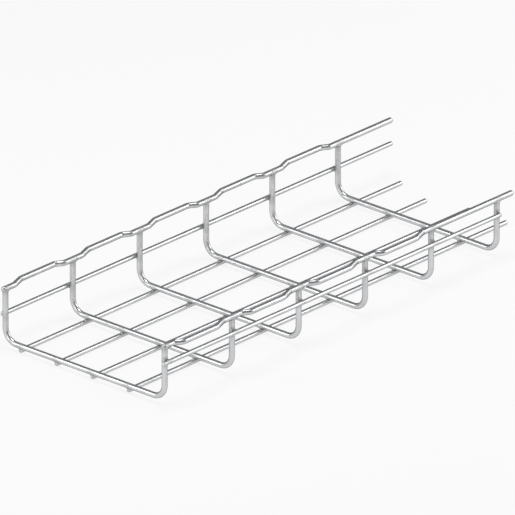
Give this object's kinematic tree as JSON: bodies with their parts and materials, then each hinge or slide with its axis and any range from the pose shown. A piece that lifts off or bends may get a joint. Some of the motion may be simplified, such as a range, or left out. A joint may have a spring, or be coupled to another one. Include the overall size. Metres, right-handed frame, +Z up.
{
  "type": "wire mesh cable basket",
  "caption": "U-shaped section of welded steel wire mesh cable basket with waved rim wires, open at both ends, for carrying cables.",
  "frame": {"origin": "centre of the bounding box's bottom face, on the plane under the floor wires", "axes": "+X along the basket towards its loose wire ends, +Y towards its left side, +Z up"},
  "size_m": [0.5966, 0.233, 0.0674],
  "materials": {
    "heavy_wire": "bright zinc-plated drawn steel wire",
    "light_wire": "bright zinc-plated drawn steel wire"
  },
  "bodies": {
    "root": {"u_wire_1": "heavy_wire", "u_wire_2": "heavy_wire", "u_wire_3": "heavy_wire", "u_wire_4": "heavy_wire", "u_wire_5": "heavy_wire", "u_wire_6": "heavy_wire", "rim_wire_left": "heavy_wire", "rim_wire_right": "heavy_wire", "side_wire_left": "light_wire", "side_wire_right": "light_wire", "floor_wire_1": "light_wire", "floor_wire_2": "light_wire", "floor_wire_3": "light_wire", "floor_wire_4": "light_wire"}
  },
  "joints": []
}
